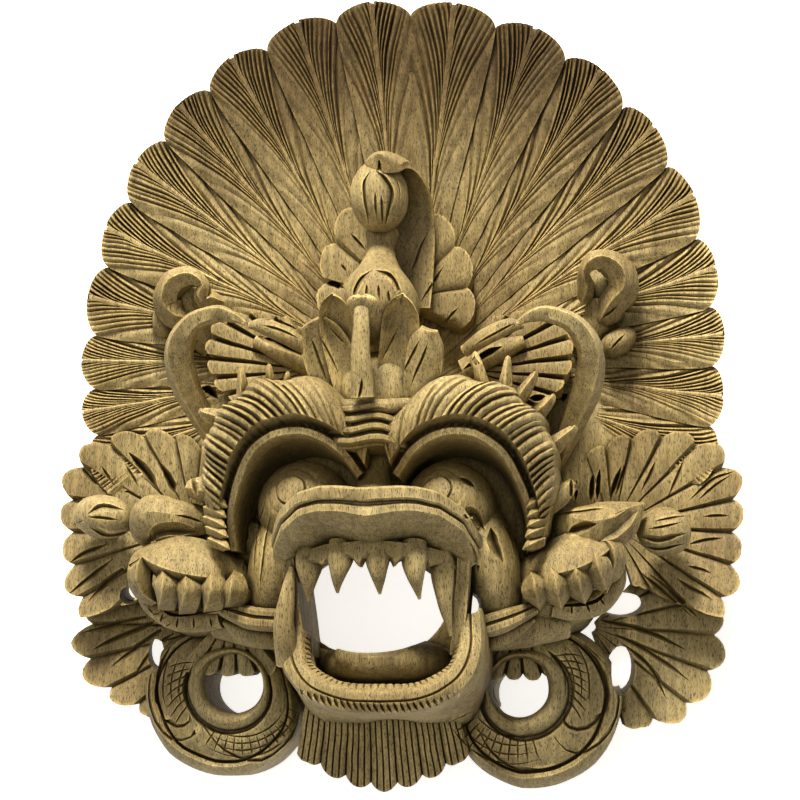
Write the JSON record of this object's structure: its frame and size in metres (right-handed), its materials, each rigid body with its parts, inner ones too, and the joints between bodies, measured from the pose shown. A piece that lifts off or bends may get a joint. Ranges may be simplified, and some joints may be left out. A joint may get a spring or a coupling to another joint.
{
  "type": "carved wooden mask",
  "caption": "Hand-carved wooden barong mask: a fanged, wide-mouthed beast face under a fan of feathers, with a crest, horns and leaf scrolls. It lies on its back.",
  "frame": {"origin": "under the middle of the outline, on the plane that the mask lies on", "axes": "+Z out of the face, +Y towards the top of the fan, +X to the right as a viewer faces the mask"},
  "size_m": [0.3374, 0.398, 0.15],
  "materials": {
    "carved_wood": "unpainted, open-grained, matt"
  },
  "bodies": {
    "root": {"mask": "carved_wood"}
  },
  "joints": []
}
